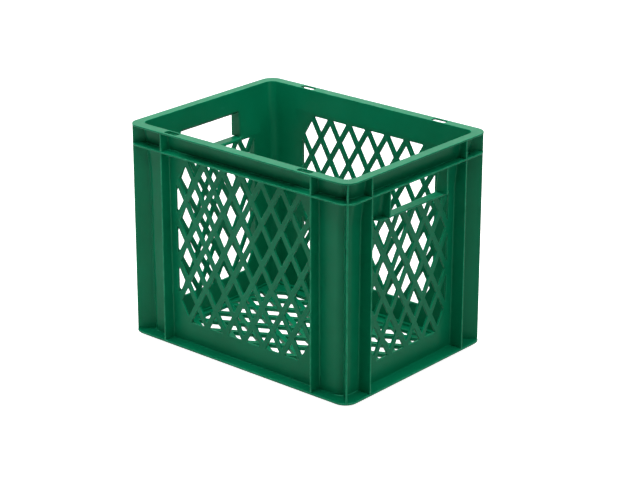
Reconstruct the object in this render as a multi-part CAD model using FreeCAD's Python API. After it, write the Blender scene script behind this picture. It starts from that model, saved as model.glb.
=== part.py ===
import FreeCAD, Part
import math
import os
from FreeCAD import Placement, Rotation, Vector

# Stacking plastic crate, millimetres. +X runs along the 400 mm side and +Z up.
# The origin is the centre of the underside. The crate is one moulding: each node
# below is one member of it, and neighbours meet face to face.

# Outside size
LENGTH = 400.0
WIDTH = 300.0
HEIGHT = 320.0
CORNER_RADIUS = 19.0

# Horizontal plates that run round the crate, out to the full outside size
FOOT_HEIGHT = 9.0
FLANGE_THICKNESS = 3.0
LEDGE_BOTTOM = 289.4
LEDGE_THICKNESS = 2.5
RIM_THICKNESS = 2.6

# Wall: inner half length and half width at each level. The long walls lean out
# above the ledge and the short walls above the handle sill, to a wider mouth.
WALL_THICKNESS = 3.4
WALL_INNER_RADIUS = 12.0
SILL_TOP = 251.2
WALL_LEVELS = (
    (FOOT_HEIGHT + FLANGE_THICKNESS, 175.9, 128.8),
    (SILL_TOP, 177.3, 130.4),
    (LEDGE_BOTTOM, 182.2, 130.7),
    (HEIGHT - RIM_THICKNESS, 185.9, 134.6),
)
MOUTH_HALF_LENGTH = 186.2
MOUTH_HALF_WIDTH = 134.9

# Vertical ribs stand on the seams between corner posts and side panels
RIB_THICKNESS = 2.5
LONG_RIB_X = 135.5
SHORT_RIB_Y = 100.5

# Diamond lattice of the four walls
CELL_HALF_WIDTH = 17.5
CELL_HALF_HEIGHT = 30.0
BAR_WIDTH = 7.7
WINDOW_TOP = 282.6
WINDOW_BOTTOM = 42.6
LONG_WINDOW_HALF_WIDTH = 122.5
SHORT_WINDOW_HALF_WIDTH = 87.5
LONG_BAND_BOTTOM = 286.6

# Handle opening in each short wall, with its sill shelf and two cheeks
HANDLE_HALF_WIDTH = 60.0
HANDLE_CORNER_RADIUS = 3.0
SILL_THICKNESS = 2.8
SILL_REACH = 193.0
SILL_HALF_WIDTH = 77.0
CHEEK_THICKNESS = 2.5
CHEEK_REACH = 198.0

# Slots through the rim of each long side
SLOT_CENTRE_X = 120.0
SLOT_LENGTH = 24.0
SLOT_INNER_Y = 136.6
SLOT_OUTER_Y = 147.0
SLOT_CORNER_RADIUS = 3.0

# Floor lattice inside the stacking foot, its longer diagonals along X
FLOOR_BOTTOM = 0.4
FLOOR_TOP = 6.2
FLOOR_BAR_WIDTH = 7.6
FLOOR_CELL_HALF_LENGTH = 33.5
FLOOR_CELL_HALF_WIDTH = 18.6
FLOOR_WINDOW_HALF_LENGTH = 167.5
FLOOR_WINDOW_HALF_WIDTH = 111.6

# Stacking foot: a ring that drops into the mouth of the crate below, round the floor
FOOT_HALF_LENGTH = 179.5
FOOT_HALF_WIDTH = 129.5
FOOT_THICKNESS = 6.0
FOOT_RADIUS = 12.0

FLANGE_TOP = FOOT_HEIGHT + FLANGE_THICKNESS
LEDGE_TOP = LEDGE_BOTTOM + LEDGE_THICKNESS
RIM_BOTTOM = HEIGHT - RIM_THICKNESS
SILL_BOTTOM = SILL_TOP - SILL_THICKNESS
HALF_LENGTH = LENGTH / 2
HALF_WIDTH = WIDTH / 2
SIDES = (("left", -1), ("right", 1))
ENDS = (("front", -1), ("back", 1))


def box(x0, x1, y0, y1, z0, z1):
    """Box between two corners, given in either order along each axis."""
    low = Vector(min(x0, x1), min(y0, y1), min(z0, z1))
    return Part.makeBox(abs(x1 - x0), abs(y1 - y0), abs(z1 - z0), low)


def rounded_outline(half_length, half_width, radius, z):
    """Closed wire of a rectangle with round corners, level at height z."""
    x = half_length - radius
    y = half_width - radius
    centres = ((x, y, 0), (-x, y, 90), (-x, -y, 180), (x, -y, 270))
    arcs = []
    for cx, cy, start in centres:
        arc = Part.Circle(Vector(cx, cy, z), Vector(0, 0, 1), radius)
        arcs.append(Part.ArcOfCircle(arc, math.radians(start), math.radians(start + 90)))
    edges = []
    for index, arc in enumerate(arcs):
        following = arcs[(index + 1) % len(arcs)]
        edges.append(arc.toShape())
        edges.append(Part.makeLine(arc.EndPoint, following.StartPoint))
    return Part.Wire(edges)


def rounded_prism(half_length, half_width, radius, z0, z1):
    """Upright prism on a round-cornered rectangle."""
    face = Part.Face(rounded_outline(half_length, half_width, radius, z0))
    return face.extrude(Vector(0, 0, z1 - z0))


def wall_core(offset):
    """Solid that fills the crate up to a face this far outside the inner wall."""
    radius = WALL_INNER_RADIUS + offset
    outlines = [
        rounded_outline(half_length + offset, half_width + offset, radius, z)
        for z, half_length, half_width in WALL_LEVELS
    ]
    return Part.makeLoft(outlines, True, True)


def diamond(half_width, half_height, across, along):
    """Flat diamond wire in the XY plane, centred at (across, along)."""
    corners = (
        Vector(across + half_width, along, 0),
        Vector(across, along + half_height, 0),
        Vector(across - half_width, along, 0),
        Vector(across, along - half_height, 0),
    )
    return Part.makePolygon(list(corners) + [corners[0]])


def lattice_cutter(half_width, half_height, bar_width, window_half_width, low, high, depth):
    """Prisms of every opening of a diamond lattice, in the XY plane.

    Openings stand on every other crossing of the half cells, counted from the
    origin. The window is centred on X = 0 and spans Y from low to high. Openings
    are cut off at its edges, and one centred on a corner of it is left solid.
    """
    reach = half_width * half_height / math.hypot(half_width, half_height)
    scale = 1 - bar_width / 2 / reach
    window = box(-window_half_width, window_half_width, low, high, -depth, depth)
    columns = math.ceil(window_half_width / half_width)
    prisms = []
    for row in range(math.floor(low / half_height), math.ceil(high / half_height) + 1):
        for column in range(-columns, columns + 1):
            across = column * half_width
            along = row * half_height
            at_side = abs(abs(across) - window_half_width) < half_width / 2
            at_end = min(abs(along - low), abs(along - high)) < half_height / 2
            if (column + row) % 2 == 0 or (at_side and at_end):
                continue
            outline = diamond(half_width * scale, half_height * scale, across, along)
            prism = Part.Face(outline).extrude(Vector(0, 0, 2 * depth))
            prism.translate(Vector(0, 0, -depth))
            prisms.append(prism)
    return Part.makeCompound(prisms).common(window)


def on_long_wall(shape):
    """Stands a flat XY cutter up in the XZ plane, at the window's top."""
    placed = shape.copy()
    placed.Placement = Placement(Vector(0, 0, WINDOW_TOP), Rotation(Vector(1, 0, 0), 90))
    return placed


def on_short_wall(shape):
    """Stands a flat XY cutter up in the YZ plane, at the window's top."""
    placed = on_long_wall(shape)
    placed.rotate(Vector(0, 0, 0), Vector(0, 0, 1), 90)
    return placed


def ring_parts(name, ring):
    """Cuts a ring round the crate into four sides and four corners."""
    far = LENGTH
    parts = {}
    for end, sy in ENDS:
        parts[f"{name}_{end}"] = ring.common(
            box(-LONG_RIB_X, LONG_RIB_X, 0, sy * far, 0, far)
        )
        for side, sx in SIDES:
            parts[f"{name}_corner_{end}_{side}"] = ring.common(
                box(sx * LONG_RIB_X, sx * far, sy * SHORT_RIB_Y, sy * far, 0, far)
            )
    for side, sx in SIDES:
        parts[f"{name}_{side}"] = ring.common(
            box(0, sx * far, -SHORT_RIB_Y, SHORT_RIB_Y, 0, far)
        )
    return parts


def rim_parts():
    """Flat rim plate, with two slots through each long side."""
    ring = rounded_prism(HALF_LENGTH, HALF_WIDTH, CORNER_RADIUS, RIM_BOTTOM, HEIGHT)
    mouth = rounded_prism(
        MOUTH_HALF_LENGTH, MOUTH_HALF_WIDTH, WALL_INNER_RADIUS, RIM_BOTTOM, HEIGHT
    )
    ring = ring.cut(mouth)
    slot = rounded_prism(
        SLOT_LENGTH / 2, (SLOT_OUTER_Y - SLOT_INNER_Y) / 2, SLOT_CORNER_RADIUS, RIM_BOTTOM, HEIGHT
    )
    centre_y = (SLOT_OUTER_Y + SLOT_INNER_Y) / 2
    for _, sx in SIDES:
        for _, sy in ENDS:
            placed = slot.copy()
            placed.translate(Vector(sx * SLOT_CENTRE_X, sy * centre_y, 0))
            ring = ring.cut(placed)
    return ring_parts("rim", ring)


def ledge_parts(core):
    """Thin horizontal rib round the crate below the rim."""
    plate = rounded_prism(HALF_LENGTH, HALF_WIDTH, CORNER_RADIUS, LEDGE_BOTTOM, LEDGE_TOP)
    return ring_parts("ledge", plate.cut(core))


def base_flange_parts():
    """Horizontal flange at the bottom of the walls, in from their inner face to the outside."""
    plate = rounded_prism(HALF_LENGTH, HALF_WIDTH, CORNER_RADIUS, FOOT_HEIGHT, FLANGE_TOP)
    _, half_length, half_width = WALL_LEVELS[0]
    inside = rounded_prism(half_length, half_width, WALL_INNER_RADIUS, FOOT_HEIGHT, FLANGE_TOP)
    return ring_parts("base_flange", plate.cut(inside))


def floor_parts():
    """Deep diamond lattice that fills the ring of the stacking foot."""
    blank = rounded_prism(
        FOOT_HALF_LENGTH - FOOT_THICKNESS, FOOT_HALF_WIDTH - FOOT_THICKNESS,
        FOOT_RADIUS - FOOT_THICKNESS, FLOOR_BOTTOM, FLOOR_TOP,
    )
    cutter = lattice_cutter(
        FLOOR_CELL_HALF_LENGTH, FLOOR_CELL_HALF_WIDTH, FLOOR_BAR_WIDTH,
        FLOOR_WINDOW_HALF_LENGTH, -FLOOR_WINDOW_HALF_WIDTH, FLOOR_WINDOW_HALF_WIDTH, HEIGHT,
    )
    return {"floor_lattice": blank.cut(cutter)}


def foot_parts():
    """Stacking foot: two long rails, and two short rails between them."""
    ring = rounded_prism(FOOT_HALF_LENGTH, FOOT_HALF_WIDTH, FOOT_RADIUS, 0, FOOT_HEIGHT)
    inside = rounded_prism(
        FOOT_HALF_LENGTH - FOOT_THICKNESS, FOOT_HALF_WIDTH - FOOT_THICKNESS,
        FOOT_RADIUS - FOOT_THICKNESS, 0, FOOT_HEIGHT,
    )
    ring = ring.cut(inside)
    split = FOOT_HALF_WIDTH - FOOT_RADIUS
    parts = {}
    for end, sy in ENDS:
        parts[f"foot_rail_{end}"] = ring.common(
            box(-LENGTH, LENGTH, sy * split, sy * WIDTH, 0, FOOT_HEIGHT)
        )
    for side, sx in SIDES:
        parts[f"foot_rail_{side}"] = ring.common(
            box(0, sx * LENGTH, -split, split, 0, FOOT_HEIGHT)
        )
    return parts


def corner_post_parts(shell):
    """Round-cornered posts, outside the vertical ribs."""
    parts = {}
    for end, sy in ENDS:
        for side, sx in SIDES:
            corner = box(
                sx * LONG_RIB_X, sx * LENGTH, sy * SHORT_RIB_Y, sy * WIDTH, 0, HEIGHT
            )
            parts[f"corner_post_{end}_{side}"] = shell.common(corner)
    return parts


def long_wall_parts(shell):
    """Lattice panel and plain upper band of each long wall."""
    cutter = on_long_wall(
        lattice_cutter(
            CELL_HALF_WIDTH, CELL_HALF_HEIGHT, BAR_WIDTH, LONG_WINDOW_HALF_WIDTH,
            WINDOW_BOTTOM - WINDOW_TOP, 0, WIDTH,
        )
    )
    parts = {}
    for end, sy in ENDS:
        low = box(-LONG_RIB_X, LONG_RIB_X, 0, sy * WIDTH, 0, LONG_BAND_BOTTOM)
        high = box(-LONG_RIB_X, LONG_RIB_X, 0, sy * WIDTH, LONG_BAND_BOTTOM, HEIGHT)
        parts[f"lattice_panel_{end}"] = shell.common(low).cut(cutter)
        parts[f"upper_band_{end}"] = shell.common(high)
    return parts


def handle_hole():
    """Round-cornered bar that cuts both handle openings."""
    height = LEDGE_BOTTOM - SILL_TOP
    bar = rounded_prism(
        HANDLE_HALF_WIDTH, height / 2, HANDLE_CORNER_RADIUS, -LENGTH, LENGTH
    )
    bar.rotate(Vector(0, 0, 0), Vector(1, 0, 0), 90)
    bar.rotate(Vector(0, 0, 0), Vector(0, 0, 1), 90)
    bar.translate(Vector(0, 0, SILL_TOP + height / 2))
    return bar


def short_wall_parts(shell):
    """Lattice panel of each short wall, and the handle panel above it."""
    cutter = on_short_wall(
        lattice_cutter(
            CELL_HALF_WIDTH, CELL_HALF_HEIGHT, BAR_WIDTH, SHORT_WINDOW_HALF_WIDTH,
            WINDOW_BOTTOM - WINDOW_TOP, SILL_BOTTOM - WINDOW_TOP, LENGTH,
        )
    )
    hole = handle_hole()
    parts = {}
    for side, sx in SIDES:
        low = box(0, sx * LENGTH, -SHORT_RIB_Y, SHORT_RIB_Y, 0, SILL_BOTTOM)
        high = box(0, sx * LENGTH, -SHORT_RIB_Y, SHORT_RIB_Y, SILL_BOTTOM, HEIGHT)
        parts[f"lattice_panel_{side}"] = shell.common(low).cut(cutter)
        parts[f"handle_panel_{side}"] = shell.common(high).cut(hole)
    return parts


def handle_trim_parts(core):
    """Sill shelf under each handle opening, and the cheek at each end of it."""
    parts = {}
    for side, sx in SIDES:
        shelf = box(0, sx * SILL_REACH, -SILL_HALF_WIDTH, SILL_HALF_WIDTH, SILL_BOTTOM, SILL_TOP)
        parts[f"handle_sill_{side}"] = shelf.cut(core)
        for end, sy in ENDS:
            cheek = box(
                0, sx * CHEEK_REACH,
                sy * HANDLE_HALF_WIDTH, sy * (HANDLE_HALF_WIDTH + CHEEK_THICKNESS),
                SILL_TOP, LEDGE_BOTTOM,
            )
            parts[f"handle_cheek_{side}_{end}"] = cheek.cut(core)
    return parts


def rib_parts(core):
    """Vertical ribs from the base flange to the ledge and on up to the rim."""
    half = RIB_THICKNESS / 2
    blanks = {}
    for end, sy in ENDS:
        for side, sx in SIDES:
            blanks[f"long_side_rib_{end}_{side}"] = box(
                sx * LONG_RIB_X - half, sx * LONG_RIB_X + half, 0, sy * HALF_WIDTH,
                FLANGE_TOP, RIM_BOTTOM,
            )
            blanks[f"short_side_rib_{side}_{end}"] = box(
                0, sx * HALF_LENGTH, sy * SHORT_RIB_Y - half, sy * SHORT_RIB_Y + half,
                FLANGE_TOP, RIM_BOTTOM,
            )
            corner = box(0, LENGTH, -half, half, FLANGE_TOP, RIM_BOTTOM)
            corner.rotate(Vector(0, 0, 0), Vector(0, 0, 1), math.degrees(math.atan2(sy, sx)))
            centre_x = sx * (HALF_LENGTH - CORNER_RADIUS)
            centre_y = sy * (HALF_WIDTH - CORNER_RADIUS)
            corner.translate(Vector(centre_x - sx * CORNER_RADIUS, centre_y - sy * CORNER_RADIUS, 0))
            blanks[f"corner_rib_{end}_{side}"] = corner
    envelope = rounded_prism(HALF_LENGTH, HALF_WIDTH, CORNER_RADIUS, FLANGE_TOP, RIM_BOTTOM)
    ledge = box(-LENGTH, LENGTH, -WIDTH, WIDTH, LEDGE_BOTTOM, LEDGE_TOP)
    return {name: blank.common(envelope).cut(core).cut(ledge) for name, blank in blanks.items()}


def build():
    """All members of the crate, by node name."""
    core = wall_core(WALL_THICKNESS)
    shell = core.cut(wall_core(0))
    parts = {}
    parts.update(rim_parts())
    parts.update(ledge_parts(core))
    parts.update(base_flange_parts())
    parts.update(floor_parts())
    parts.update(foot_parts())
    parts.update(corner_post_parts(shell))
    parts.update(long_wall_parts(shell))
    parts.update(short_wall_parts(shell))
    parts.update(handle_trim_parts(core))
    parts.update(rib_parts(core))
    return parts


def main():
    os.makedirs("parts", exist_ok=True)
    total = 0
    for name, shape in build().items():
        solids = shape.Solids
        print(f"{name}: {len(solids)} solid(s), {shape.Volume / 1000:.1f} cm3, valid {shape.isValid()}")
        total += shape.Volume
        Part.makeCompound(solids).exportStep(f"parts/{name}.step")
    print(f"all: {total / 1000:.0f} cm3")


main()
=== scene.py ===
import math

import bmesh
import bpy
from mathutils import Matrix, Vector
from mathutils.geometry import tessellate_polygon


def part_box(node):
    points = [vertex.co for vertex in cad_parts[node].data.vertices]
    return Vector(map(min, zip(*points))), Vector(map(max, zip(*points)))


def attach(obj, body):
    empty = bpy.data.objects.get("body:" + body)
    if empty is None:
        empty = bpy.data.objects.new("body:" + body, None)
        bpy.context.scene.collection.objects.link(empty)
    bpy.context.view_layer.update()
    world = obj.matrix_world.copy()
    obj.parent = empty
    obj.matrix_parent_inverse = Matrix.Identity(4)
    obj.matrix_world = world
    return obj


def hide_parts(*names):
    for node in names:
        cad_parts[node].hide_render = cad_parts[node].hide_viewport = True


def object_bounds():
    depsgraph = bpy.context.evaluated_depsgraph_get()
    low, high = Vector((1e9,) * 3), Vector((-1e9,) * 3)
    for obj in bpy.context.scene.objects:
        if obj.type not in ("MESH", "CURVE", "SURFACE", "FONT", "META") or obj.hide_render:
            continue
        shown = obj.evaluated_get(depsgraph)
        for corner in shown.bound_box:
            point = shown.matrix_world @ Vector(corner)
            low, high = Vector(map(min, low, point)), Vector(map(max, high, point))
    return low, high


# Stacking plastic crate, in metres, in the CAD's frame: +X runs along the long side and +Z
# up, from the centre of the underside. Every CAD node is replaced by a piece of the same
# outline with moulded edges: rounded rims and bars, and coves where a rib meets a wall.

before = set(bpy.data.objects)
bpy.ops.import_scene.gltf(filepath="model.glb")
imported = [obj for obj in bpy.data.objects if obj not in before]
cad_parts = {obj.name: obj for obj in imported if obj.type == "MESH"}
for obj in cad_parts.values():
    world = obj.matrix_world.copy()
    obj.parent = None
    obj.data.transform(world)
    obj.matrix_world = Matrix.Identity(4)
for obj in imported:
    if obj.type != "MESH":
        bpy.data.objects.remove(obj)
CAD_LOW, CAD_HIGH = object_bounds()

MM = 0.001
BODY = "root"

# Places and sizes that the CAD nodes give
HALF_LENGTH = CAD_HIGH.x
HALF_WIDTH = CAD_HIGH.y
HEIGHT = CAD_HIGH.z
RIM_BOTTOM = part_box("rim_front")[0].z
MOUTH_HALF_WIDTH = -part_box("rim_front")[1].y
MOUTH_HALF_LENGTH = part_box("rim_right")[0].x
LEDGE_BOTTOM, LEDGE_TOP = (corner.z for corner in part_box("ledge_front"))
FLANGE_BOTTOM, FLANGE_TOP = (corner.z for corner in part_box("base_flange_front"))
SEAM_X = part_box("lattice_panel_front")[1].x
SEAM_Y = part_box("lattice_panel_right")[1].y
BAND_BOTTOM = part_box("upper_band_front")[0].z
SILL_BOTTOM, SILL_TOP = (corner.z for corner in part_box("handle_sill_right"))
SILL_REACH, SILL_HALF_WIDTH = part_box("handle_sill_right")[1].xy
CHEEK_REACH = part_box("handle_cheek_right_back")[1].x
CHEEK_INNER_Y, CHEEK_OUTER_Y = (corner.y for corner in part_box("handle_cheek_right_back"))
FLOOR_BOTTOM, FLOOR_TOP = (corner.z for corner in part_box("floor_lattice"))
FOOT_HALF_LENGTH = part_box("foot_rail_right")[1].x
FOOT_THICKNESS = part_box("foot_rail_right")[1].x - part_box("foot_rail_right")[0].x
FOOT_HALF_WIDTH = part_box("foot_rail_back")[1].y
FOOT_RADIUS = 12 * MM

# Walls, as in the CAD. WALL_LEVELS holds (height, inner half length, inner half width).
WALL_THICKNESS = 3.4 * MM
WALL_INNER_RADIUS = 12 * MM
CORNER_RADIUS = 19 * MM
WALL_LEVELS = (
    (FLANGE_TOP, 175.9 * MM, 128.8 * MM),
    (SILL_TOP, 177.3 * MM, 130.4 * MM),
    (LEDGE_BOTTOM, 182.2 * MM, 130.7 * MM),
    (RIM_BOTTOM, 185.9 * MM, 134.6 * MM),
)

# Diamond lattices: half cells, bar widths and window sizes
CELL_HALF_WIDTH = 17.5 * MM
CELL_HALF_HEIGHT = 30 * MM
BAR_WIDTH = 7.7 * MM
WINDOW_TOP = 282.6 * MM
WINDOW_BOTTOM = 42.6 * MM
LONG_WINDOW_HALF_WIDTH = 122.5 * MM
SHORT_WINDOW_HALF_WIDTH = 87.5 * MM
FLOOR_BAR_WIDTH = 7.6 * MM
FLOOR_CELL_HALF_LENGTH = 33.5 * MM
FLOOR_CELL_HALF_WIDTH = 18.6 * MM
FLOOR_WINDOW_HALF_LENGTH = 167.5 * MM
FLOOR_WINDOW_HALF_WIDTH = 111.6 * MM
STRIP_UNDER_SILL = 1.5 * MM
LEAST_CORNER_GAP = 0.6 * MM

# Rim slots and handle openings
SLOT_CENTRE_X = 120 * MM
SLOT_LENGTH = 24 * MM
SLOT_INNER_Y = 136.6 * MM
SLOT_OUTER_Y = 147 * MM
SLOT_CORNER_RADIUS = 3 * MM
HANDLE_CORNER_RADIUS = 3 * MM
SILL_CORNER_RADIUS = 10 * MM

# Moulded edges
EDGE_ROUND = 0.8 * MM
RIM_ROUND = 0.6 * MM
BAR_OUTER_ROUND = 0.4 * MM
BAR_INNER_ROUND = 1.2 * MM
FLOOR_BAR_ROUND = 1 * MM
BAR_CORNER_RADIUS = 0.9 * MM
HANDLE_INNER_ROUND = 2.4 * MM
COVE = 2 * MM
PLATE_COVE = 1.2 * MM
HANDLE_COVE = 5 * MM
SLOT_ROUND = 0.5 * MM
RIB_RECESS = 0.3 * MM
RIB_ROOT_DEPTH = 0.4 * MM
EDGE_STRIP_WIDTH = 0.6 * MM
ROUND_STEPS = 3
CORNER_STEPS = 10
WELD_DISTANCE = 0.002 * MM
SHARP_ANGLE = math.radians(50)

LONG_SIDES = (("front", -1), ("back", 1))
SHORT_SIDES = (("left", -1), ("right", 1))


# ---------------------------------------------------------------- wall and outline helpers

def wall_inner(z):
    """Inner half length and half width of the walls at height z."""
    for (z0, length0, width0), (z1, length1, width1) in zip(WALL_LEVELS, WALL_LEVELS[1:]):
        if z <= z1:
            break
    t = (z - z0) / (z1 - z0)
    return length0 + t * (length1 - length0), width0 + t * (width1 - width0)


def wall_outline(offset, z):
    """Rounded rectangle this far outside the walls' inner face: (half length, half width, radius)."""
    half_length, half_width = wall_inner(z)
    return half_length + offset, half_width + offset, WALL_INNER_RADIUS + offset


def outer_outline(inset):
    """Rounded rectangle this far inside the crate's outside size."""
    return HALF_LENGTH - inset, HALF_WIDTH - inset, CORNER_RADIUS - inset


def stations(region, outline, z):
    """Points of a rounded rectangle along one side or round one corner.

    region is ("long", sy), ("short", sx) or ("corner", sx, sy).
    """
    half_length, half_width, radius = outline
    kind = region[0]
    if kind == "long":
        return [Vector((x, region[1] * half_width, z)) for x in (-SEAM_X, SEAM_X)]
    if kind == "short":
        return [Vector((region[1] * half_length, y, z)) for y in (-SEAM_Y, SEAM_Y)]
    _, sx, sy = region
    points = [Vector((sx * SEAM_X, sy * half_width, z))]
    for step in range(CORNER_STEPS + 1):
        angle = math.pi / 2 * (1 - step / CORNER_STEPS)
        x = half_length - radius + radius * math.cos(angle)
        y = half_width - radius + radius * math.sin(angle)
        points.append(Vector((sx * x, sy * y, z)))
    points.append(Vector((sx * half_length, sy * SEAM_Y, z)))
    return points


def ring_regions():
    """Every side and corner of the crate, with the ending of its node names."""
    regions = []
    for end, sy in LONG_SIDES:
        regions.append((end, ("long", sy)))
        for side, sx in SHORT_SIDES:
            regions.append((f"corner_{end}_{side}", ("corner", sx, sy)))
    for side, sx in SHORT_SIDES:
        regions.append((side, ("short", sx)))
    return regions


def quarter(steps=ROUND_STEPS):
    """(sine, cosine) of angles from 0 to 90 degrees."""
    angles = [math.pi / 2 * step / steps for step in range(steps + 1)]
    return [(math.sin(angle), math.cos(angle)) for angle in angles]


# ---------------------------------------------------------------- mesh helpers

def finish_piece(bm, name, material, *nodes):
    """Turns bm into a smooth-shaded piece that stands for these CAD nodes."""
    bmesh.ops.remove_doubles(bm, verts=bm.verts, dist=WELD_DISTANCE)
    bmesh.ops.recalc_face_normals(bm, faces=bm.faces)
    mesh = bpy.data.meshes.new(name)
    bm.to_mesh(mesh)
    bm.free()
    edge = mesh.attributes.new("moulded_edge", "FLOAT", "FACE")
    for polygon in mesh.polygons:
        polygon.use_smooth = True
        points = [mesh.vertices[index].co for index in polygon.vertices]
        around = sum((a - b).length for a, b in zip(points, points[1:] + points[:1]))
        strip = len(points) == 4 and polygon.area / around < EDGE_STRIP_WIDTH / 2
        edge.data[polygon.index].value = float(strip)
    piece = bpy.data.objects.new(name, mesh)
    bpy.context.scene.collection.objects.link(piece)
    mesh.materials.append(material)
    mesh.set_sharp_from_angle(angle=SHARP_ANGLE)
    weighted = piece.modifiers.new("flat faces stay flat", "WEIGHTED_NORMAL")
    weighted.keep_sharp = True
    weighted.weight = 100
    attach(piece, BODY)
    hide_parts(*nodes)
    return piece


def skin(bm, loops):
    """Closed tube through loops of equal length, with its ends capped."""
    rows = [[bm.verts.new(point) for point in loop] for loop in loops]
    for row, following in zip(rows, rows[1:] + rows[:1]):
        for index in range(len(row) - 1):
            bm.faces.new((row[index], row[index + 1], following[index + 1], following[index]))
    bm.faces.new([row[0] for row in rows])
    bm.faces.new([row[-1] for row in reversed(rows)])


def prism(bm, levels):
    """Closed solid through stacked closed outlines of equal length."""
    rows = [[bm.verts.new(point) for point in level] for level in levels]
    for row, following in zip(rows, rows[1:]):
        for index in range(len(row)):
            after = (index + 1) % len(row)
            bm.faces.new((row[index], row[after], following[after], following[index]))
    bm.faces.new(rows[0])
    bm.faces.new(list(reversed(rows[-1])))


def offset_polygon(points, distance):
    """Moves every edge of a convex anticlockwise polygon outwards by a distance."""
    lines = []
    for point, following in zip(points, points[1:] + points[:1]):
        direction = (following - point).normalized()
        lines.append((point + Vector((direction.y, -direction.x)) * distance, direction))
    moved = []
    for (start_a, along_a), (start_b, along_b) in zip(lines[-1:] + lines[:-1], lines):
        gap = start_b - start_a
        t = (gap.x * along_b.y - gap.y * along_b.x) / (along_a.x * along_b.y - along_a.y * along_b.x)
        moved.append(start_a + along_a * t)
    return moved


def rounded_polygon(points, radius, steps=ROUND_STEPS):
    """Rounds the corners of a convex anticlockwise polygon."""
    loop = []
    count = len(points)
    for index, point in enumerate(points):
        before = (points[index - 1] - point).normalized()
        after = (points[(index + 1) % count] - point).normalized()
        half_angle = before.angle(after) / 2
        centre = point + (before + after).normalized() * radius / math.sin(half_angle)
        start = point + before * radius / math.tan(half_angle) - centre
        turn = math.pi - 2 * half_angle
        for step in range(steps + 1):
            angle = turn * step / steps
            arm = Vector((
                start.x * math.cos(angle) - start.y * math.sin(angle),
                start.x * math.sin(angle) + start.y * math.cos(angle),
            ))
            loop.append(centre + arm)
    return loop


def clip(points, axis, limit, side):
    """The part of a convex polygon where side * coordinate <= side * limit."""
    kept = []
    for point, following in zip(points, points[1:] + points[:1]):
        inside = side * point[axis] <= side * limit
        if inside:
            kept.append(point)
        if inside != (side * following[axis] <= side * limit):
            t = (limit - point[axis]) / (following[axis] - point[axis])
            kept.append(point + (following - point) * t)
    return kept


def merged_corners(points, least):
    """Drops corners that lie closer than this to the one before."""
    kept = []
    for point in points:
        if not kept or (point - kept[-1]).length > least:
            kept.append(point)
    if (kept[0] - kept[-1]).length <= least:
        kept.pop()
    return kept


def lattice_openings(half_width, half_height, bar_width, window_half_width, low, high):
    """Convex outlines of a diamond lattice's openings, from the origin as in the CAD.

    The window is centred across and spans low to high along. An opening centred on a
    corner of it is left solid.
    """
    reach = half_width * half_height / math.hypot(half_width, half_height)
    scale = 1 - bar_width / 2 / reach
    columns = math.ceil(window_half_width / half_width)
    openings = []
    for row in range(math.floor(low / half_height), math.ceil(high / half_height) + 1):
        for column in range(-columns, columns + 1):
            centre = Vector((column * half_width, row * half_height))
            at_side = abs(abs(centre.x) - window_half_width) < half_width / 2
            at_end = min(abs(centre.y - low), abs(centre.y - high)) < half_height / 2
            if (column + row) % 2 == 0 or (at_side and at_end):
                continue
            outline = [
                centre + Vector((half_width * scale, 0)),
                centre + Vector((0, half_height * scale)),
                centre - Vector((half_width * scale, 0)),
                centre - Vector((0, half_height * scale)),
            ]
            for axis, limit, side in (
                (0, window_half_width, 1), (0, -window_half_width, -1), (1, high, 1), (1, low, -1),
            ):
                outline = clip(outline, axis, limit, side)
                if len(outline) < 3:
                    break
            if len(outline) > 2:
                outline = merged_corners(outline, LEAST_CORNER_GAP)
            if len(outline) > 2:
                openings.append(outline)
    return openings


def holed_plate(bm, place, border, openings, thickness, rounds, corner_radius):
    """Front and back faces of a plate with openings, and the walls of the openings.

    place turns (across, along, depth) into a point. rounds are the edge radii at the
    front and at the back of each opening.
    """
    front, back = rounds
    profile = [(front * (1 - s), front * (1 - c)) for s, c in quarter()] if front else [(0, 0)]
    if back:
        profile += [(back * (1 - c), thickness - back * (1 - s)) for s, c in quarter()]
    else:
        profile.append((0, thickness))
    rings = []
    for outline in openings:
        loops = []
        for grow, depth in profile:
            grown = rounded_polygon(offset_polygon(outline, grow), corner_radius + grow)
            loops.append([(point.x, point.y, depth) for point in grown])
        rings.append(loops)
    for depth, ring_index in ((0, 0), (thickness, -1)):
        outlines = [[(point[0], point[1], 0) for point in border]]
        outlines += [[(x, y, 0) for x, y, _ in loops[ring_index]] for loops in rings]
        flat = [point for outline in outlines for point in outline]
        verts = [bm.verts.new(place(x, y, depth)) for x, y, _ in flat]
        for triangle in tessellate_polygon([[Vector(p) for p in outline] for outline in outlines]):
            bm.faces.new([verts[index] for index in triangle])
    for loops in rings:
        rows = [[bm.verts.new(place(*point)) for point in loop] for loop in loops]
        for row, following in zip(rows, rows[1:]):
            for index in range(len(row)):
                after = (index + 1) % len(row)
                bm.faces.new((row[index], row[after], following[after], following[index]))


def cove(bm, start, end, along_a, along_b, radius):
    """Hollow fillet in the angle between two faces, from start to end of the line where they meet."""
    levels = []
    for corner in (start, end):
        centre = corner + (along_a + along_b) * radius
        level = [corner]
        for s, c in quarter(ROUND_STEPS + 1):
            level.append(centre - along_a * radius * s - along_b * radius * c)
        levels.append(level)
    prism(bm, levels)


# ---------------------------------------------------------------- materials


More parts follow.
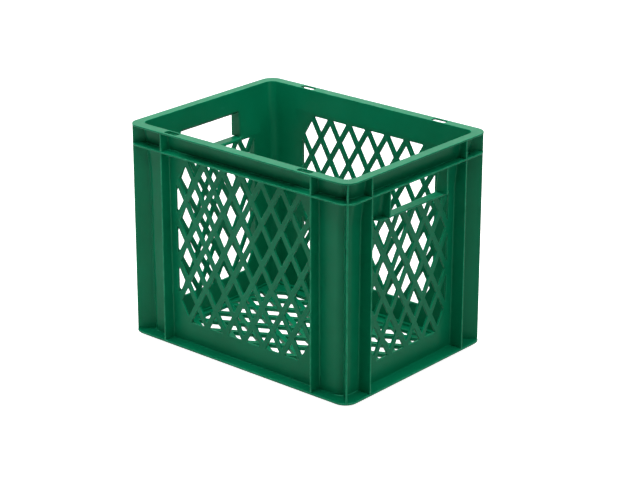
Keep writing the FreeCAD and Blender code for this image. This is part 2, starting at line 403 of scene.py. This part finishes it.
class NodeTree:
    """Short way to add nodes to a material or world and join them up."""

    def __init__(self, tree):
        self.tree = tree

    def add(self, kind, **settings):
        node = self.tree.nodes.new(kind)
        for name, value in settings.items():
            setattr(node, name, value)
        return node

    def link(self, source, target):
        self.tree.links.new(source, target)

    def noise(self, vector, scale, detail=3.0, roughness=0.5):
        node = self.add("ShaderNodeTexNoise")
        node.inputs["Scale"].default_value = scale
        node.inputs["Detail"].default_value = detail
        node.inputs["Roughness"].default_value = roughness
        self.link(vector, node.inputs["Vector"])
        return node.outputs["Fac"]

    def ramp(self, value, low, high, low_to=0.0, high_to=1.0):
        node = self.add("ShaderNodeMapRange")
        node.inputs["From Min"].default_value = low
        node.inputs["From Max"].default_value = high
        node.inputs["To Min"].default_value = low_to
        node.inputs["To Max"].default_value = high_to
        self.link(value, node.inputs["Value"])
        return node.outputs["Result"]

    def math(self, operation, a, b):
        node = self.add("ShaderNodeMath", operation=operation)
        for socket, value in zip(node.inputs, (a, b)):
            if isinstance(value, (int, float)):
                socket.default_value = value
            else:
                self.link(value, socket)
        return node.outputs[0]

    def mix(self, factor, a, b):
        node = self.add("ShaderNodeMix", data_type="RGBA")
        for socket, value in ((node.inputs[0], factor), (node.inputs[6], a), (node.inputs[7], b)):
            if isinstance(value, tuple):
                socket.default_value = (*value, 1)
            elif isinstance(value, float):
                socket.default_value = value
            else:
                self.link(value, socket)
        return node.outputs[2]


# Colours of the plastic: its two clouds, a scratch, and a rubbed edge that is also a painted highlight on
# the rounded edges
GREEN = (0.0003, 0.178, 0.08)
GREEN_DEEP = (0.0003, 0.155, 0.068)
GREEN_WORN = (0.03, 0.26, 0.15)
GREEN_RUBBED_AND_HIGHLIT = (0.03, 0.36, 0.19)

# Noise scales of the plastic's markings, per metre
CLOUD_SCALE = 14
PATCH_SCALE = 22
WAVE_SCALE = 60
RUB_SCALE = 90
GRAIN_SCALE = 1500
SCRATCH_SCALES = (900, 60, 400)
SCRATCH_TURN = (0.3, 0.5, 0.9)


def moulded_plastic(name, scuffs, grain, edge_wear_and_highlight):
    """Satin green polyethylene: cloudy colour, mould grain, scuff marks, and rounded edges lightened for
    rubbing and as a painted highlight.
    """
    material = bpy.data.materials.new(name)
    material.use_nodes = True
    tree = NodeTree(material.node_tree)
    shader = material.node_tree.nodes["Principled BSDF"]
    place = tree.add("ShaderNodeTexCoord").outputs["Object"]
    cloud = tree.noise(place, CLOUD_SCALE, 4)
    colour = tree.mix(tree.ramp(cloud, 0.35, 0.65), GREEN_DEEP, GREEN)
    stretched = tree.add("ShaderNodeMapping")
    stretched.inputs["Rotation"].default_value = SCRATCH_TURN
    stretched.inputs["Scale"].default_value = SCRATCH_SCALES
    tree.link(place, stretched.inputs["Vector"])
    scratch_lines = tree.ramp(tree.noise(stretched.outputs["Vector"], 1, 2), 0.68, 0.74)
    patches = tree.ramp(tree.noise(place, PATCH_SCALE, 3), 0.5, 0.72)
    scratches = tree.math("MULTIPLY", tree.math("MULTIPLY", scratch_lines, patches), scuffs)
    colour = tree.mix(scratches, colour, GREEN_WORN)
    # Rounded edge strips are lightened: partly rubbed wear, partly a painted highlight where the edges
    # catch the light.
    rounding = tree.add("ShaderNodeAttribute", attribute_name="moulded_edge").outputs["Fac"]
    unevenness = tree.ramp(tree.noise(place, RUB_SCALE, 4), 0.35, 0.65, 0.25, 0.9)
    rubbed_and_highlit = tree.math("MULTIPLY", rounding, unevenness)
    colour = tree.mix(tree.math("MULTIPLY", rubbed_and_highlit, edge_wear_and_highlight), colour, GREEN_RUBBED_AND_HIGHLIT)
    tree.link(colour, shader.inputs["Base Color"])
    fine = tree.noise(place, GRAIN_SCALE, 2)
    waves = tree.noise(place, WAVE_SCALE, 3)
    satin = tree.ramp(waves, 0.3, 0.7, 0.30, 0.40)
    roughness = tree.math("ADD", satin, tree.math("MULTIPLY", scratches, 0.25))
    tree.link(roughness, shader.inputs["Roughness"])
    height = tree.math("ADD", tree.math("MULTIPLY", fine, grain), tree.math("MULTIPLY", waves, 0.6))
    height = tree.math("SUBTRACT", height, tree.math("MULTIPLY", scratches, 0.4))
    bump = tree.add("ShaderNodeBump")
    bump.inputs["Strength"].default_value = 0.25
    bump.inputs["Distance"].default_value = 0.25 * MM
    tree.link(height, bump.inputs["Height"])
    tree.link(bump.outputs["Normal"], shader.inputs["Normal"])
    shader.inputs["IOR"].default_value = 1.5
    shader.inputs["Specular IOR Level"].default_value = 0.12
    return material


# The plastic of each kind of member: scuffs, grain, and edge wear with a painted edge highlight
PLASTIC = {
    "wall": moulded_plastic("moulded_green_wall", 0.25, 0.5, 0.5),
    "rim": moulded_plastic("moulded_green_rim", 0.7, 0.35, 0.8),
    "lattice": moulded_plastic("moulded_green_lattice", 0.2, 0.35, 0.35),
    "rib": moulded_plastic("moulded_green_rib", 0.45, 0.35, 0.8),
}


# ---------------------------------------------------------------- pieces

def edge_profile(top, bottom, top_round, bottom_round):
    """(inset, z) points down the rounded outer edge of a horizontal plate."""
    points = [(top_round * (1 - s), top - top_round * (1 - c)) for s, c in quarter()]
    points += [(bottom_round * (1 - c), bottom + bottom_round * (1 - s)) for s, c in quarter()]
    return points


def upper_cove(z, radius):
    """(distance from the wall, z) points of a hollow fillet under a plate at height z."""
    return [(radius * (1 - s), z - radius * (1 - c)) for s, c in quarter()]


def lower_cove(z, radius):
    """(distance from the wall, z) points of a hollow fillet on top of a plate at height z."""
    return [(radius * (1 - c), z + radius * (1 - s)) for s, c in quarter()]


def rim_loops(region):
    """Cross-section of the rim plate along one side or corner, from the mouth outwards."""
    mouth = (MOUTH_HALF_LENGTH, MOUTH_HALF_WIDTH, WALL_INNER_RADIUS)
    loops = []
    for s, c in quarter():
        grow = RIM_ROUND * (1 - c)
        outline = tuple(size + grow for size in mouth)
        loops.append(stations(region, outline, HEIGHT - RIM_ROUND * (1 - s)))
    for inset, z in edge_profile(HEIGHT, RIM_BOTTOM, RIM_ROUND, EDGE_ROUND):
        loops.append(stations(region, outer_outline(inset), z))
    if region[0] != "long":
        for distance, z in upper_cove(RIM_BOTTOM, COVE):
            loops.append(stations(region, wall_outline(WALL_THICKNESS + distance, z), z))
        loops.append(stations(region, wall_outline(WALL_THICKNESS, RIM_BOTTOM), RIM_BOTTOM))
    loops.append(stations(region, wall_outline(0, RIM_BOTTOM), RIM_BOTTOM))
    return loops


def rim_slots(sy):
    """Outlines of the two slots of one long side, across and outwards."""
    low, high = sorted((sy * SLOT_INNER_Y, sy * SLOT_OUTER_Y))
    slots = []
    for side in (-1, 1):
        x0 = side * SLOT_CENTRE_X - SLOT_LENGTH / 2
        x1 = x0 + SLOT_LENGTH
        slots.append([Vector((x0, low)), Vector((x1, low)), Vector((x1, high)), Vector((x0, high))])
    return slots


def slotted_rim(bm, sy):
    """Makes the flat top and underside of a long side again, with slots, and its cove."""
    bm.normal_update()
    least_area = 2 * SEAM_X * 2 * SLOT_CORNER_RADIUS
    flat = [face for face in bm.faces if abs(face.normal.z) > 0.999 and face.calc_area() > least_area]
    strips = []
    for face in flat:
        ys = [vert.co.y for vert in face.verts]
        strips.append((face.verts[0].co.z, min(ys), max(ys)))
    low = max(strip[1] for strip in strips)
    high = min(strip[2] for strip in strips)
    bmesh.ops.delete(bm, geom=flat, context="FACES")
    border = [(-SEAM_X, low), (SEAM_X, low), (SEAM_X, high), (-SEAM_X, high)]
    holed_plate(
        bm, lambda x, y, depth: Vector((x, y, HEIGHT - depth)), border, rim_slots(sy),
        HEIGHT - RIM_BOTTOM, (SLOT_ROUND, SLOT_ROUND), SLOT_CORNER_RADIUS,
    )
    for z, y0, y1 in strips:
        for a, b in ((y0, low), (high, y1)):
            if b - a > WELD_DISTANCE:
                corners = ((-SEAM_X, a), (SEAM_X, a), (SEAM_X, b), (-SEAM_X, b))
                bm.faces.new([bm.verts.new((x, y, z)) for x, y in corners])
    cove_end = SLOT_CENTRE_X - SLOT_LENGTH / 2 - COVE
    wall_y = sy * wall_outline(WALL_THICKNESS, RIM_BOTTOM)[1]
    cove(
        bm, Vector((-cove_end, wall_y, RIM_BOTTOM)), Vector((cove_end, wall_y, RIM_BOTTOM)),
        Vector((0, sy, 0)), Vector((0, 0, -1)), COVE,
    )


def make_rim():
    """Flat rim plate: four corners, two plain sides and two slotted ones."""
    for ending, region in ring_regions():
        bm = bmesh.new()
        skin(bm, rim_loops(region))
        if region[0] == "long":
            slotted_rim(bm, region[1])
        finish_piece(bm, f"rim_{ending}_moulded", PLASTIC["rim"], f"rim_{ending}")


def ledge_loops(region, bottom, top):
    """Cross-section of the ledge: a plate from the wall out to the crate's outside, with coves."""
    loops = []
    for distance, z in lower_cove(top, PLATE_COVE):
        loops.append(stations(region, wall_outline(WALL_THICKNESS + distance, z), z))
    for inset, z in edge_profile(top, bottom, EDGE_ROUND, EDGE_ROUND):
        loops.append(stations(region, outer_outline(inset), z))
    for distance, z in upper_cove(bottom, COVE):
        loops.append(stations(region, wall_outline(WALL_THICKNESS + distance, z), z))
    return loops


def flange_loops(region, bottom, top):
    """Cross-section of the base flange, which also runs in under the wall."""
    loops = []
    for distance, z in lower_cove(top, PLATE_COVE):
        loops.append(stations(region, wall_outline(WALL_THICKNESS + distance, z), z))
    for inset, z in edge_profile(top, bottom, EDGE_ROUND, EDGE_ROUND):
        loops.append(stations(region, outer_outline(inset), z))
    loops.append(stations(region, wall_outline(0, top), bottom))
    loops.append(stations(region, wall_outline(0, top), top))
    loops.append(stations(region, wall_outline(WALL_THICKNESS, top), top))
    return loops


def make_plate_rings():
    """Ledge below the rim, and base flange."""
    for ending, region in ring_regions():
        for name, loops in (
            ("ledge", ledge_loops(region, LEDGE_BOTTOM, LEDGE_TOP)),
            ("base_flange", flange_loops(region, FLANGE_BOTTOM, FLANGE_TOP)),
        ):
            bm = bmesh.new()
            skin(bm, loops)
            finish_piece(bm, f"{name}_{ending}_moulded", PLASTIC["rib"], f"{name}_{ending}")


def make_posts():
    """Round-cornered posts between the walls."""
    for end, sy in LONG_SIDES:
        for side, sx in SHORT_SIDES:
            region = ("corner", sx, sy)
            heights = [z for z, _, _ in WALL_LEVELS]
            loops = [stations(region, wall_outline(WALL_THICKNESS, z), z) for z in heights]
            loops += [stations(region, wall_outline(0, z), z) for z in reversed(heights)]
            bm = bmesh.new()
            skin(bm, loops)
            name = f"corner_post_{end}_{side}"
            finish_piece(bm, f"{name}_moulded", PLASTIC["wall"], name)


def wall_place(region):
    """Turns (across, height, depth from the outer face) into a point of one wall."""
    kind, sign = region

    def place(across, z, depth):
        half_length, half_width = wall_inner(z)
        if kind == "long":
            return Vector((across, sign * (half_width + WALL_THICKNESS - depth), z))
        return Vector((sign * (half_length + WALL_THICKNESS - depth), across, z))

    return place


def flat_place(across, z, depth):
    """The same as a point of a flat panel, before it leans."""
    return Vector((across, z, depth))


def wall_panel(name, region, low, high, openings, rounds, corner_radius, material):
    """Part of a wall between two heights, with openings, following the wall's lean."""
    seam = SEAM_X if region[0] == "long" else SEAM_Y
    border = [(-seam, low), (seam, low), (seam, high), (-seam, high)]
    bm = bmesh.new()
    holed_plate(bm, flat_place, border, openings, WALL_THICKNESS, rounds, corner_radius)
    for (x0, z0), (x1, z1) in zip(border, border[1:] + border[:1]):
        corners = ((x0, z0, 0), (x1, z1, 0), (x1, z1, WALL_THICKNESS), (x0, z0, WALL_THICKNESS))
        bm.faces.new([bm.verts.new(corner) for corner in corners])
    bmesh.ops.remove_doubles(bm, verts=bm.verts, dist=WELD_DISTANCE)
    for z, _, _ in WALL_LEVELS[1:-1]:
        if low < z < high:
            geometry = bm.verts[:] + bm.edges[:] + bm.faces[:]
            bmesh.ops.bisect_plane(bm, geom=geometry, plane_co=(0, z, 0), plane_no=(0, 1, 0))
    place = wall_place(region)
    for vert in bm.verts:
        vert.co = place(*vert.co)
    finish_piece(bm, f"{name}_moulded", material, name)


def wall_openings(window_half_width, top):
    """Openings of a wall lattice as (across, height) outlines below the given height."""
    openings = lattice_openings(
        CELL_HALF_WIDTH, CELL_HALF_HEIGHT, BAR_WIDTH, window_half_width,
        WINDOW_BOTTOM - WINDOW_TOP, top - WINDOW_TOP,
    )
    return [[point + Vector((0, WINDOW_TOP)) for point in outline] for outline in openings]


def make_walls():
    """Lattice panels, the plain bands above the long ones and the handle panels above the short ones."""
    bars = (BAR_OUTER_ROUND, BAR_INNER_ROUND)
    for end, sy in LONG_SIDES:
        region = ("long", sy)
        wall_panel(
            f"lattice_panel_{end}", region, FLANGE_TOP, BAND_BOTTOM,
            wall_openings(LONG_WINDOW_HALF_WIDTH, WINDOW_TOP), bars, BAR_CORNER_RADIUS,
            PLASTIC["lattice"],
        )
        wall_panel(f"upper_band_{end}", region, BAND_BOTTOM, RIM_BOTTOM, [], bars, 0, PLASTIC["wall"])
    half = CHEEK_INNER_Y
    handle = [
        Vector((-half, SILL_TOP)), Vector((half, SILL_TOP)),
        Vector((half, LEDGE_BOTTOM)), Vector((-half, LEDGE_BOTTOM)),
    ]
    for side, sx in SHORT_SIDES:
        region = ("short", sx)
        wall_panel(
            f"lattice_panel_{side}", region, FLANGE_TOP, SILL_BOTTOM,
            wall_openings(SHORT_WINDOW_HALF_WIDTH, SILL_BOTTOM - STRIP_UNDER_SILL), bars, BAR_CORNER_RADIUS,
            PLASTIC["lattice"],
        )
        wall_panel(
            f"handle_panel_{side}", region, SILL_BOTTOM, RIM_BOTTOM, [handle],
            (0, HANDLE_INNER_ROUND), HANDLE_CORNER_RADIUS, PLASTIC["wall"],
        )


def rib_plan(reach, half):
    """Plan of a rib as (across, outwards) points: coves at the wall, rounded outer end."""
    right = [(half + COVE * (1 - s), COVE * (1 - c)) for s, c in quarter()]
    right += [(half - EDGE_ROUND * (1 - c), reach - EDGE_ROUND * (1 - s)) for s, c in quarter()]
    left = [(-across, out) for across, out in reversed(right)]
    return right + left


def rib(bm, levels, half):
    """Upright rib through (wall point, outward direction, reach) levels."""
    outlines = []
    for wall_point, outward, reach in levels:
        across = Vector((-outward.y, outward.x, 0))
        outlines.append([wall_point + across * a + outward * o for a, o in rib_plan(reach, half)])
    prism(bm, outlines)


def long_rib_level(sx, sy, z):
    """Wall point, outward direction and reach at height z of a rib on a long wall."""
    outer_width = wall_outline(WALL_THICKNESS, z)[1]
    wall_point = Vector((sx * SEAM_X, sy * outer_width, z))
    return wall_point, Vector((0, sy, 0)), HALF_WIDTH - RIB_RECESS - outer_width


def short_rib_level(sx, sy, z):
    """The same for a rib on a short wall."""
    outer_length = wall_outline(WALL_THICKNESS, z)[0]
    wall_point = Vector((sx * outer_length, sy * SEAM_Y, z))
    return wall_point, Vector((sx, 0, 0)), HALF_LENGTH - RIB_RECESS - outer_length


def corner_rib_level(sx, sy, z):
    """The same for a corner rib, which leaves the round post along the diagonal."""
    diagonal = Vector((sx, sy, 0)).normalized()
    outer_length, outer_width, radius = wall_outline(WALL_THICKNESS, z)
    arc_centre = Vector((sx * (outer_length - radius), sy * (outer_width - radius), 0))
    tip_centre = Vector((sx * (HALF_LENGTH - CORNER_RADIUS), sy * (HALF_WIDTH - CORNER_RADIUS), 0))
    along = (arc_centre - tip_centre).dot(diagonal)
    sideways = (arc_centre - tip_centre - diagonal * along).length
    start = along + math.sqrt(radius ** 2 - sideways ** 2) - RIB_ROOT_DEPTH
    wall_point = tip_centre + diagonal * start
    wall_point.z = z
    return wall_point, diagonal, CORNER_RADIUS - RIB_RECESS - start


def make_ribs():
    """Vertical ribs of the walls and corners, each in two parts, below and above the ledge."""
    rib_low, rib_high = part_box("long_side_rib_front_right")
    half = (rib_high.x - rib_low.x) / 2
    for end, sy in LONG_SIDES:
        for side, sx in SHORT_SIDES:
            for name, level in (
                (f"long_side_rib_{end}_{side}", long_rib_level),
                (f"short_side_rib_{side}_{end}", short_rib_level),
                (f"corner_rib_{end}_{side}", corner_rib_level),
            ):
                bm = bmesh.new()
                for heights in ((FLANGE_TOP, SILL_TOP, LEDGE_BOTTOM), (LEDGE_TOP, RIM_BOTTOM)):
                    rib(bm, [level(sx, sy, z) for z in heights], half)
                finish_piece(bm, f"{name}_moulded", PLASTIC["rib"], name)


def sill_outline(wall_x, inset):
    """Plan of a handle sill as (x, y) points: straight at the wall, rounded at both outer corners."""
    reach = SILL_REACH - inset
    half = SILL_HALF_WIDTH - inset
    radius = SILL_CORNER_RADIUS - inset
    corner = [(reach - radius * (1 - c), half - radius * (1 - s)) for s, c in quarter(ROUND_STEPS + 2)]
    back = corner + [(wall_x, half)]
    return [(x, -y) for x, y in reversed(back)] + back


def make_cheek(side, sx, end, sy):
    """Plate at one end of a handle opening, with coves to the wall, sill and ledge."""
    bm = bmesh.new()
    outlines = []
    for z in (SILL_TOP, LEDGE_BOTTOM):
        wall_x = wall_outline(WALL_THICKNESS, z)[0]
        reach = CHEEK_REACH - wall_x
        inner, outer = CHEEK_INNER_Y, CHEEK_OUTER_Y
        plan = [(inner, 0)]
        plan += [(inner + EDGE_ROUND * (1 - c), reach - EDGE_ROUND * (1 - s)) for s, c in quarter()]
        plan += [(outer - EDGE_ROUND * (1 - s), reach - EDGE_ROUND * (1 - c)) for s, c in quarter()]
        plan += [(outer + HANDLE_COVE * (1 - c), HANDLE_COVE * (1 - s)) for s, c in quarter()]
        outlines.append([Vector((sx * (wall_x + out), sy * y, z)) for y, out in plan])
    prism(bm, outlines)
    name = f"handle_cheek_{side}_{end}"
    finish_piece(bm, f"{name}_moulded", PLASTIC["rib"], name)


def make_handles():
    """Sill shelf under each handle opening, and the cheeks at its ends."""
    for side, sx in SHORT_SIDES:
        wall_x = wall_outline(WALL_THICKNESS, SILL_TOP)[0]
        levels = []
        for inset, z in edge_profile(SILL_TOP, SILL_BOTTOM, EDGE_ROUND, EDGE_ROUND):
            levels.append([Vector((sx * x, y, z)) for x, y in sill_outline(wall_x, inset)])
        bm = bmesh.new()
        prism(bm, levels)
        cove_end = SILL_HALF_WIDTH - EDGE_ROUND
        cove(
            bm, Vector((sx * wall_x, -cove_end, SILL_BOTTOM)), Vector((sx * wall_x, cove_end, SILL_BOTTOM)),
            Vector((sx, 0, 0)), Vector((0, 0, -1)), COVE,
        )
        name = f"handle_sill_{side}"
        finish_piece(bm, f"{name}_moulded", PLASTIC["rib"], name)
        for end, sy in LONG_SIDES:
            make_cheek(side, sx, end, sy)


def make_floor():
    """Deep lattice that fills the ring of the stacking foot."""
    half_length = FOOT_HALF_LENGTH - FOOT_THICKNESS
    half_width = FOOT_HALF_WIDTH - FOOT_THICKNESS
    openings = lattice_openings(
        FLOOR_CELL_HALF_LENGTH, FLOOR_CELL_HALF_WIDTH, FLOOR_BAR_WIDTH,
        FLOOR_WINDOW_HALF_LENGTH, -FLOOR_WINDOW_HALF_WIDTH, FLOOR_WINDOW_HALF_WIDTH,
    )
    corners = [
        Vector((-half_length, -half_width)), Vector((half_length, -half_width)),
        Vector((half_length, half_width)), Vector((-half_length, half_width)),
    ]
    border = rounded_polygon(corners, FOOT_RADIUS - FOOT_THICKNESS, CORNER_STEPS)
    bm = bmesh.new()
    thickness = FLOOR_TOP - FLOOR_BOTTOM

    def place(x, y, depth):
        return Vector((x, y, FLOOR_TOP - depth))

    holed_plate(
        bm, place, border, openings, thickness, (FLOOR_BAR_ROUND, BAR_OUTER_ROUND), BAR_CORNER_RADIUS
    )
    for a, b in zip(border, border[1:] + border[:1]):
        bm.faces.new([
            bm.verts.new(place(p.x, p.y, depth))
            for p, depth in ((a, 0), (b, 0), (b, thickness), (a, thickness))
        ])
    finish_piece(bm, "floor_lattice_moulded", PLASTIC["lattice"], "floor_lattice")


def foot_rail_loop(sy, inset, z):
    """Line along a long foot rail and round both of its corners."""
    x = FOOT_HALF_LENGTH - FOOT_RADIUS
    y = FOOT_HALF_WIDTH - FOOT_RADIUS
    arc = []
    for s, c in quarter(CORNER_STEPS):
        arc.append((x + (FOOT_RADIUS - inset) * c, y + (FOOT_RADIUS - inset) * s))
    loop = [Vector((-along, sy * across, z)) for along, across in arc]
    return loop + [Vector((along, sy * across, z)) for along, across in reversed(arc)]


def make_foot():
    """Stacking foot: two long rails that turn the corners, and two short rails between them."""
    section = [(EDGE_ROUND * (1 - s), EDGE_ROUND * (1 - c)) for s, c in quarter()]
    section += [(0, FLANGE_BOTTOM), (FOOT_THICKNESS, FLANGE_BOTTOM)]
    section += [(FOOT_THICKNESS - EDGE_ROUND * (1 - c), EDGE_ROUND * (1 - s)) for s, c in quarter()]
    for end, sy in LONG_SIDES:
        bm = bmesh.new()
        skin(bm, [foot_rail_loop(sy, inset, z) for inset, z in section])
        finish_piece(bm, f"foot_rail_{end}_moulded", PLASTIC["rim"], f"foot_rail_{end}")
    split = FOOT_HALF_WIDTH - FOOT_RADIUS
    for side, sx in SHORT_SIDES:
        loops = []
        for inset, z in section:
            loops.append([Vector((sx * (FOOT_HALF_LENGTH - inset), y, z)) for y in (-split, split)])
        bm = bmesh.new()
        skin(bm, loops)
        finish_piece(bm, f"foot_rail_{side}_moulded", PLASTIC["rim"], f"foot_rail_{side}")


make_rim()
make_plate_rings()
make_posts()
make_walls()
make_ribs()
make_handles()
make_floor()
make_foot()


# ---------------------------------------------------------------- stage, light and camera

# Studio floor: its colours for the light that it bounces on to the crate, how far the change
# between them reaches, and its colour to the camera, to which its glow is added
FLOOR_HALF_SIZE = 8
FLOOR_BOUNCE_FRONT_LEFT = (0.95, 0.95, 0.95)
FLOOR_BOUNCE_BACK_RIGHT = (0.6, 0.6, 0.6)
FLOOR_BOUNCE_REACH = 0.6
FLOOR_SEEN = (0.5, 0.5, 0.5)

# Strength of the world's white light on the crate
WORLD_STRENGTH = 0.035

# Softboxes aimed at the middle of the crate: name, place, size and power in watts
SOFTBOXES = (
    ("overhead_softbox", (-0.1, 0.1, 2.2), (2.8, 2.8), 110),
    ("back_softbox", (-2.2, 2.5, 1.5), (3.2, 2.0), 24),
    ("right_softbox", (3.0, -0.8, 0.6), (1.6, 1.0), 11),
    ("front_softbox", (-1.6, -2.6, 0.9), (1.8, 1.2), 2),
)

# Camera, aimed at the middle of the crate's height above the base flange's underside
CAMERA_AZIMUTH = math.radians(40.94)
CAMERA_ELEVATION = math.radians(20.64)
CAMERA_DISTANCE = 3.008
CAMERA_LENS = 121
CAMERA_SHIFT = (0.0205, -0.0115)


def make_stage():
    """Pale floor: white to the camera, but a weaker bounce on to the crate."""
    bm = bmesh.new()
    bmesh.ops.create_grid(bm, x_segments=1, y_segments=1, size=FLOOR_HALF_SIZE)
    mesh = bpy.data.meshes.new("studio_floor")
    bm.to_mesh(mesh)
    bm.free()
    floor = bpy.data.objects.new("studio_floor", mesh)
    bpy.context.scene.collection.objects.link(floor)
    material = bpy.data.materials.new("studio_floor")
    material.use_nodes = True
    tree = NodeTree(material.node_tree)
    shader = material.node_tree.nodes["Principled BSDF"]
    seen = tree.add("ShaderNodeLightPath").outputs["Is Camera Ray"]
    place = tree.add("ShaderNodeSeparateXYZ")
    tree.link(tree.add("ShaderNodeTexCoord").outputs["Object"], place.inputs["Vector"])
    to_back_right = tree.math("ADD", place.outputs["X"], place.outputs["Y"])
    share = tree.ramp(to_back_right, -FLOOR_BOUNCE_REACH, FLOOR_BOUNCE_REACH)
    bounce = tree.mix(share, FLOOR_BOUNCE_FRONT_LEFT, FLOOR_BOUNCE_BACK_RIGHT)
    tree.link(tree.mix(seen, bounce, FLOOR_SEEN), shader.inputs["Base Color"])
    shader.inputs["Roughness"].default_value = 0.9
    shader.inputs["Specular IOR Level"].default_value = 0.1
    shader.inputs["Emission Color"].default_value = (1, 1, 1, 1)
    tree.link(seen, shader.inputs["Emission Strength"])
    mesh.materials.append(material)


def softbox(name, place, aim, size, energy):
    """Rectangular area light that faces a point."""
    data = bpy.data.lights.new(name, "AREA")
    data.shape = "RECTANGLE"
    data.size, data.size_y = size
    data.energy = energy
    light = bpy.data.objects.new(name, data)
    light.location = place
    light.rotation_euler = (Vector(aim) - Vector(place)).to_track_quat("-Z", "Y").to_euler()
    bpy.context.scene.collection.objects.link(light)


def make_light():
    """Four softboxes, and a world that is white to the camera and dim to the crate."""
    world = bpy.data.worlds.new("studio")
    bpy.context.scene.world = world
    world.use_nodes = True
    tree = NodeTree(world.node_tree)
    background = world.node_tree.nodes["Background"]
    seen = tree.add("ShaderNodeLightPath").outputs["Is Camera Ray"]
    strength = tree.ramp(seen, 0, 1, WORLD_STRENGTH, 1.0)
    tree.link(strength, background.inputs["Strength"])
    background.inputs["Color"].default_value = (1, 1, 1, 1)
    for name, place, size, power in SOFTBOXES:
        softbox(name, place, (0, 0, HEIGHT / 2), size, power)
    bpy.context.scene.view_settings.view_transform = "Standard"


def make_camera():
    """Long lens at the photograph's viewing angle: well to the right of the front and above."""
    aim = Vector((0, 0, (FLANGE_BOTTOM + HEIGHT) / 2))
    level = math.cos(CAMERA_ELEVATION)
    back = Vector((
        math.sin(CAMERA_AZIMUTH) * level, -math.cos(CAMERA_AZIMUTH) * level, math.sin(CAMERA_ELEVATION),
    ))
    data = bpy.data.cameras.new("camera")
    data.lens = CAMERA_LENS
    data.sensor_width = 36
    data.shift_x, data.shift_y = CAMERA_SHIFT
    camera = bpy.data.objects.new("camera", data)
    camera.location = aim + back * CAMERA_DISTANCE
    camera.rotation_euler = back.to_track_quat("Z", "Y").to_euler()
    bpy.context.scene.collection.objects.link(camera)
    bpy.context.scene.camera = camera


make_stage()
make_light()
make_camera()
